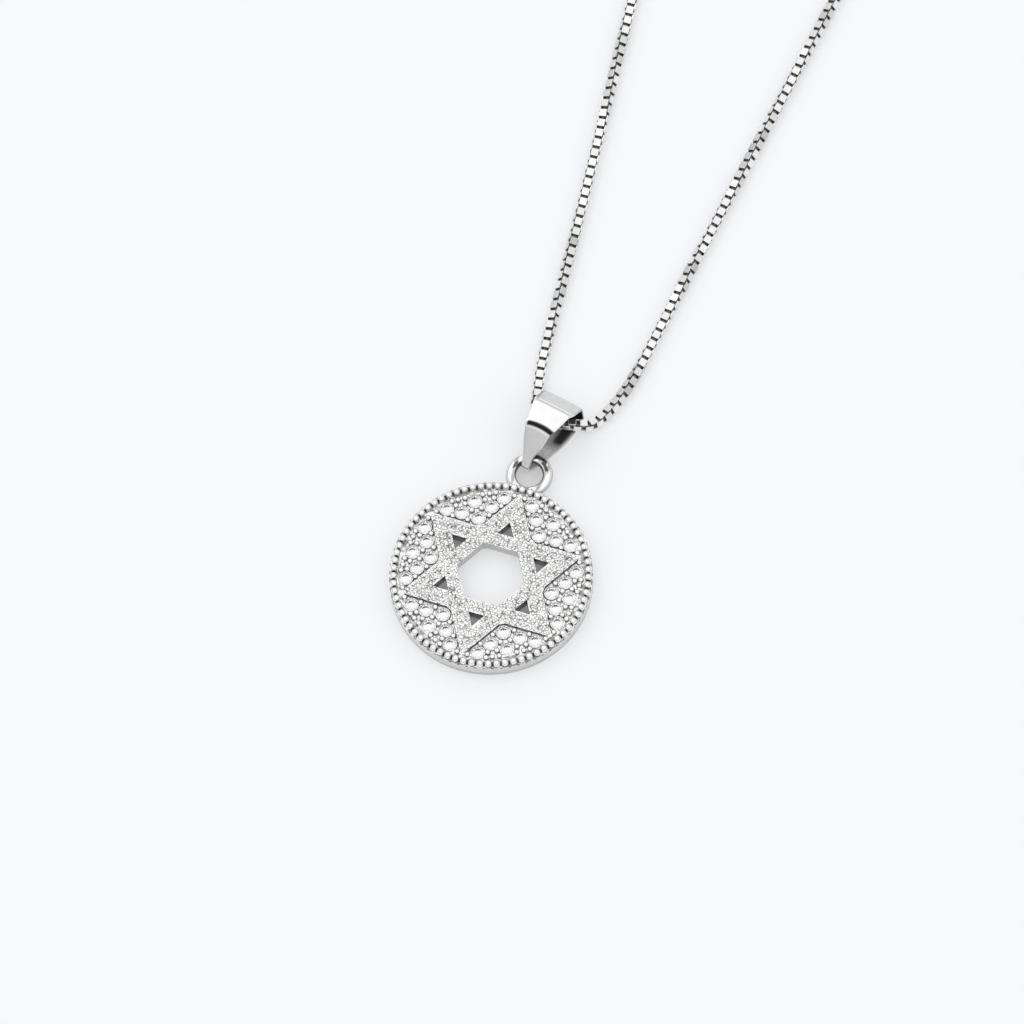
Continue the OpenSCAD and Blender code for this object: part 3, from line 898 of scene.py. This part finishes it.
reach = int(SPOT_REACH / DOME_PITCH)
reach_up = reach + EXTRA_ROWS
column, row = np.meshgrid(np.arange(-reach, reach + 1), np.arange(-reach_up, reach_up + 1))
rows_apart = DOME_PITCH * math.sqrt(3) / 2
spots = together((column + 0.5 * (row % 2)) * DOME_PITCH, row * rows_apart).reshape(-1, 2)
draw = np.random.default_rng(SPOT_SEED)
spots = spots + draw.uniform(-DOME_SHIFT, DOME_SHIFT, spots.shape)
on_star = np.minimum(beyond(spots, [90, 210, 330]), beyond(spots, [30, 150, 270])) < STAR_EDGE - DOME_ROOM
on_star &= np.linalg.norm(spots, axis=1) < STAR_TRIM - DOME_ROOM
on_star &= beyond(spots, range(30, 390, 60)) > WINDOW_FLAT + DOME_ROOM
for arm in range(30, 390, 60):
    window_spots = spots - SMALL_WINDOW_OUT * ways([arm])
    on_star &= beyond(window_spots, [arm + 60, arm + 180, arm + 300]) > SMALL_WINDOW_FLAT + DOME_ROOM
spots = spots[on_star]
print("domes:", len(spots))

# %% The domes
DOME_SIDES = 10
SUNK = 0.01
DOME_RISE = (0, 28, 60)
# Least and most share of length, width and height, and of the way that the dome points
DOME_DRAW = ((0.85, 0.6, 0.8, 0), (1.3, 0.95, 1.15, math.pi))
dome_turn = (np.arange(DOME_SIDES) * 2 * math.pi / DOME_SIDES)[None, None]
dome_rise = np.radians(DOME_RISE)[None, :, None]
dome_long, dome_short, dome_tall, dome_way = draw.uniform(*DOME_DRAW, (len(spots), 4)).T[..., None, None]
dome_ahead = DOME_R * dome_long * np.cos(dome_rise) * np.cos(dome_turn)
dome_aside = DOME_R * dome_short * np.cos(dome_rise) * np.sin(dome_turn)
dome_points = together(
    spots[:, 0, None, None] + dome_ahead * np.cos(dome_way) - dome_aside * np.sin(dome_way),
    spots[:, 1, None, None] + dome_ahead * np.sin(dome_way) + dome_aside * np.cos(dome_way),
    STAR_Z - SUNK + DOME_HIGH * dome_tall * np.sin(dome_rise),
)


def capped(rings, sides, count):
    """Faces of count round pieces that follow one another, each of so many rings: their sides, and both ends."""
    low, points_each = np.arange(sides), rings * sides
    caps = np.array([low[::-1], low + points_each - sides])
    return [
        repeated(grid_faces(rings, sides, False, True), points_each, count), repeated(caps, points_each, count),
    ]


dome_faces = capped(len(DOME_RISE), DOME_SIDES, len(spots))
granulation = make_piece("star_granulation", dome_points, dome_faces)
granulation.data.set_sharp_from_angle(angle=math.radians(70))

# %% The look of the grained face
CURL_SCALE = 1.95
# What is left of the brightness at a dome's foot: painted shade where the dome meets the star's face
FOOT_LEFT = 0.32


def curls(position):
    """Thin dark curling lines where noise passes its middle value, painted shade standing for the crevices between
    grains, and paler and greyer patches under them.
    """
    worms = noise(position, CURL_SCALE, 1.0)
    line = between(worms, 0.46, 0.52, 0.025)
    patches = step(noise(position, 0.5), 0.35, 0.65, 0.95, 1.0)
    depth = step(noise(position, 1.6), 0.35, 0.6, 0.62, 0.18)
    return product(patches, mix_number(line, 1.0, depth))


def dome_shade(position):
    """Painted shade where the domes meet the star's face, bright from half way up, with curling lines over all."""
    foot = step(x_y_z(position)["Z"], STAR_Z + 0.02, STAR_Z + 0.06, FOOT_LEFT, 1.0)
    return product(foot, curls(position))


granulation.data.materials.append(silver_material("grain_silver", dome_shade, smooth=0.16, dull=0.5, hairlines=0.3))
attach(granulation, "root")

# %% [markdown]
# ## Settings of the stones
# Each stone sits in a drilled seat whose cut edge is burnished to a bright ring, and between the seats stand the
# grains: little beads of metal raised from the plate and pushed over the stones to hold them. Both are profiles of
# radius and height swept round upright axes, many at once, and both are bright on top and painted black at the
# foot, as painted shade where they meet the plate.

# %% A profile swept round many upright axes
BEAD_CIRCLE = 8.8


def swept_round(places, rings, sides):
    """Points of every place, ring and side: the place plus the ring's radius in a turning direction, at the ring's
    height."""
    turn = (np.arange(sides) * 2 * math.pi / sides)[None, None]
    ring_r, ring_z = np.asarray(rings).T[:, None, :, None]
    x, y = places.T[..., None, None]
    return together(x + ring_r * np.cos(turn), y + ring_r * np.sin(turn), ring_z)


def round_the_fields(shares):
    """The same places in all six fields: (outwards, sideways) shares of the bead circle, turned by 60 degrees."""
    out, aside = (BEAD_CIRCLE * np.asarray(shares)).T[:, None]
    turn = np.radians(60 * np.arange(6))[:, None]
    x, y = out * np.cos(turn) - aside * np.sin(turn), out * np.sin(turn) + aside * np.cos(turn)
    return together(x, y).reshape(-1, 2)


# %% The bright cut edge round each stone
# Shares of the bead circle: outwards and sideways
stone_spots = round_the_fields([
    (0.655, 0), (0.752, 0.155), (0.752, -0.155), (0.85, 0), (0.823, 0.3), (0.823, -0.3),
])
COLLAR_SIDES = 28
# Radius and height of each ring of the collar's profile
collar_rings = np.array([
    (0.69, 1.37), (0.66, 1.42), (0.625, 1.49), (0.61, 1.52), (0.62, 1.55), (0.65, 1.56), (0.675, 1.545),
    (0.69, 1.5), (0.7, 1.45), (0.745, 1.387), (0.745, 1.36),
])
# Painted shade: black at the collar's foot
collar_bright = np.array([0, 0.1, 0.8, 1, 1, 1, 1, 0.8, 0, 0, 0])[:, None]
collar_points = swept_round(stone_spots, collar_rings, COLLAR_SIDES)
collar_faces = repeated(
    grid_faces(len(collar_rings), COLLAR_SIDES, True, True)[:, ::-1], len(collar_rings) * COLLAR_SIDES,
    len(stone_spots),
)
collars = make_piece("stone_collars", collar_points, [collar_faces], bright=collar_bright)
setting_shade = marked("bright", low=0.1, high=0.9, dim=0.46)
collars.data.materials.append(silver_material("collar_silver", setting_shade, smooth=0.08, dull=0.3))
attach(collars, "root")

# %% The grains between the stones
grain_shares = np.array([
    (0.66, 0.113), (0.757, 0.051), (0.735, 0.254), (0.841, 0.2), (0.842, 0.105), (0.905, 0.092), (0.9, 0.165),
    (0.897, 0.23), (0.82, 0.41),
])
grain_spots = round_the_fields(np.concatenate([grain_shares, grain_shares * (1, -1)]))
GRAIN_R = 0.28
GRAIN_FOOT = 1.37
GRAIN_EQUATOR = 1.5
GRAIN_SIDES = 16
GRAIN_RISE = (0, 22, 42, 58, 78)
grain_rise = np.radians(GRAIN_RISE)
grain_rings = together(GRAIN_R * np.cos(grain_rise), GRAIN_EQUATOR + GRAIN_R * np.sin(grain_rise))
grain_rings = np.concatenate([[(GRAIN_R, GRAIN_FOOT)], grain_rings])
# Painted shade: black at the grain's foot
grain_bright = np.array([0, 0, 0.1, 0.6, 1, 1])[:, None]
grain_points = swept_round(grain_spots, grain_rings, GRAIN_SIDES)
grain_faces = capped(len(grain_rings), GRAIN_SIDES, len(grain_spots))
prong_grains = make_piece("prong_grains", grain_points, grain_faces, bright=grain_bright)
prong_grains.data.materials.append(silver_material("prong_silver", setting_shade))
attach(prong_grains, "root")

# %% [markdown]
# ## The disc's own finish
# The disc node keeps its exact shape and gets a better material. Its zones are told apart by where a point lies,
# in the pendant's own drawing: distance from the middle, height, and whether the surface stands upright. The ledge
# under the beads, the sunken fields, the star's crevices and the small windows are dull and painted dark as
# painted shade, and everything else is left bright.

# %% Numbers of the disc's zones
WALL_H = 1.45
FIELD_Z = 1.38
LOW_GROUND_Z = 1.5
BACK_Z = 0.56
BEADS = 73
WINDOW_R = 3.4
FIELD_R = 8.01
LEDGE_R = 8.2
BEAD_GAPS = (8.5, 9.0)
RIM_R_MM = RIM_R / MM
STREAK_LOW = 1.18
RING_Y = BEAD_CIRCLE + 1.87
RING_HOLE_R = 1.31
RING_RIM = (2.06, 2.2)
# How far the foot of the star's far walls shows in front of the star, where a dark line of painted shade runs
FAR_CORNER = (0.058, -0.131, 0)
# Painted dark reflections on the ring: from one angle to another, from one radius to another
RING_STROKES = [(0.42, 1.08, 1.44, 1.72), (2.6, 3.1, 1.46, 1.62), (2.45, 2.95, 1.3, 1.44)]
# What a zone leaves of the brightness: painted shade in each, and painted reflections in the strokes
LEFT = {
    "corners": 0.24, "small windows": 0.62, "streaks": 0.2, "bead gaps": 0.16, "ring hole": 0.12, "ring rim": 0.5,
    "strokes": 0.06,
}

# %% How far a place is from the star


def farthest(flat, degrees):
    """How far a place lies out, measured along the farthest of these directions."""
    return largest(*(vector_node("DOT_PRODUCT", flat, (*way, 0))["Value"] for way in ways(degrees)))


def beyond_star(flat):
    """How far a place lies outside the star: it is inside where it is inside either of the two big triangles."""
    triangles = (farthest(flat, degrees) for degrees in ((90, 210, 330), (30, 150, 270)))
    return math_node("SUBTRACT", math_node("MINIMUM", *triangles), STAR_EDGE)


# %% The factor of each zone


def disc_shade(position):
    """The product of one factor a zone: 1 leaves the silver bright, less darkens it: painted shade, with random
    speckle and brushing in some zones.
    """
    x, y, z = x_y_z(position)
    flat = vector_node("MULTIPLY", position, (1, 1, 0))["Vector"]
    r = vector_node("LENGTH", flat)["Value"]
    normal = built("ShaderNodeNewGeometry", {}, position.id_data)["Normal"]
    upright = step(math_node("ABSOLUTE", x_y_z(normal)["Z"]), 0.02, 0.06, 1.0, 0.0)
    speckle = noise(position, 2.4, 3.0)

    # Painted shade on the ledge under the beads and in the sunken fields, with random speckle
    in_rim = between(r, LEDGE_R, RIM_R_MM - 0.015, 0.004)
    ledge_tone = step(z, WALL_H, WALL_H + 0.12, step(speckle, 0.4, 0.62, 0.32, 0.95), 1.0)
    in_field = between(r, WINDOW_R, FIELD_R, 0.005)
    field_tone = step(z, FIELD_Z, FIELD_Z + 0.05, step(speckle, 0.32, 0.55, 0.74, 1.0), 1.0)

    # Painted shade: the line round the star, the curls on its face, and the walls that are cut through the plate
    off_star = beyond_star(flat)
    behind_star = beyond_star(vector_node("ADD", flat, FAR_CORNER)["Vector"])
    low_ground = product(in_field, step(z, LOW_GROUND_Z, LOW_GROUND_Z + 0.05, 1.0, 0.0))
    corner_line = largest(between(off_star, 0.0, 0.06, 0.02), between(behind_star, -0.02, 0.07, 0.02))
    star_face = product(between(z, STAR_Z - 0.004, STAR_Z + 0.004, 0.002), in_field)
    above_back = step(z, BACK_Z, BACK_Z + 0.04)
    cut_wall = product(upright, above_back, between(r, WINDOW_R, FIELD_R - 0.03, 0.01))
    small_window = product(cut_wall, step(off_star, -0.2, -0.1, 1.0, 0.0))
    window_wall = product(upright, step(r, WINDOW_R - 0.05, WINDOW_R, 1.0, 0.0))

    # Painted shade between the beads, and in the streaks that run down the wall from there
    around = math_node("ADD", math_node("ARCTAN2", y, x), math.pi)
    waves_round = math_node("SINE", product(around, BEADS))
    streak_place = product(step(r, 9.1, 9.18), step(z, STREAK_LOW, WALL_H))
    streak = product(step(waves_round, 0.1, 0.9), streak_place)
    in_gap = step(waves_round, 0.6, 0.85)
    bead_gap = product(in_gap, between(r, *BEAD_GAPS, 0.05), step(z, WALL_H - 0.02, WALL_H - 0.01))

    # The ring: painted shade in its hole and at its rim, and painted dark reflections in the strokes
    from_ring = vector_node("SUBTRACT", flat, (0, RING_Y, 0))["Vector"]
    ring_r = vector_node("LENGTH", from_ring)["Value"]
    ring_hole = step(ring_r, RING_HOLE_R, RING_HOLE_R + 0.05, 1.0, 0.0)
    ring_rim = product(between(ring_r, *RING_RIM, 0.02), step(r, 9.3, 9.4))
    ring_x, ring_y, _ = x_y_z(from_ring)
    round_ring = math_node("ARCTAN2", ring_y, ring_x)
    strokes = largest(*(
        product(between(round_ring, low, high, 0.05), between(ring_r, near, far, 0.03))
        for low, high, near, far in RING_STROKES
    ))

    # The brushed outer wall, painted darker as painted shade, most towards its foot
    brushed = step(noise(position, 5.0, 3.0, (6.0, 6.0, 0.5)), 0.35, 0.65, 0.84, 1.0)
    outer_wall = product(step(r, RIM_R_MM - 0.014, RIM_R_MM - 0.01), upright)
    wall_tone = product(brushed, step(z, 0.05, 0.9, 0.57, 0.81))

    zones = [
        (in_rim, ledge_tone), (in_field, field_tone), (product(low_ground, corner_line), LEFT["corners"]),
        (star_face, curls(position)), (cut_wall, step(z, 1.2, 1.6, 0.6, 0.3)),
        (small_window, LEFT["small windows"]), (window_wall, step(z, 0.1, 0.4, 0.22, 0.55)),
        (streak, LEFT["streaks"]), (bead_gap, LEFT["bead gaps"]), (ring_hole, LEFT["ring hole"]),
        (ring_rim, LEFT["ring rim"]), (strokes, LEFT["strokes"]), (outer_wall, wall_tone),
    ]
    return product(*(mix_number(mask, 1.0, factor) for mask, factor in zones))


disc_silver = silver_material("disc_silver", disc_shade, dull=0.45, hairlines=0.5)
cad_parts["disc"].material_slots[0].material = disc_silver
print("nodes in the disc's finish:", len(disc_silver.node_tree.nodes))

# %% [markdown]
# ## The stones
# The stones are clear, brilliant-cut and strongly refracting. The frame already holds them facet by facet, so they
# only need the material: a clear body with a high index, faint dust that roughens it a little here and there, and
# greyer facets on the far side of the crown, where a bright room is mirrored least.

# %% Clear stone
STONE_INDEX = 2.15
FAR_SIDE = (-0.8, 0.6, 0)
CLEAR = (1, 1, 1, 1)
DUSTY = (0.96, 0.97, 0.98, 1)
FAR_GREY = (0.45, 0.45, 0.45, 1)
clear_stone, stone_tree, stone_shader = new_material("clear_stone")
dust = noise(millimetres(stone_tree), 3.0, 4.0)
stone_normal = built("ShaderNodeNewGeometry", {}, stone_tree)["Normal"]
far_facing = vector_node("DOT_PRODUCT", stone_normal, FAR_SIDE)["Value"]
far_crown = product(step(far_facing, 0.3, 0.5), step(x_y_z(stone_normal)["Z"], 0.1, 0.3))
dusted = mix_colour(step(dust, 0.4, 0.7), CLEAR, DUSTY)
fill(stone_shader, {
    "Transmission Weight": 1, "IOR": STONE_INDEX, "Roughness": step(dust, 0.5, 0.75, 0.01, 0.05),
    "Base Color": mix_colour(far_crown, dusted, FAR_GREY),
})
stone_nodes = [node for name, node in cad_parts.items() if name.startswith("stone_")]
for node in stone_nodes:
    node.material_slots[0].material = clear_stone
print("stones dressed:", len(stone_nodes))
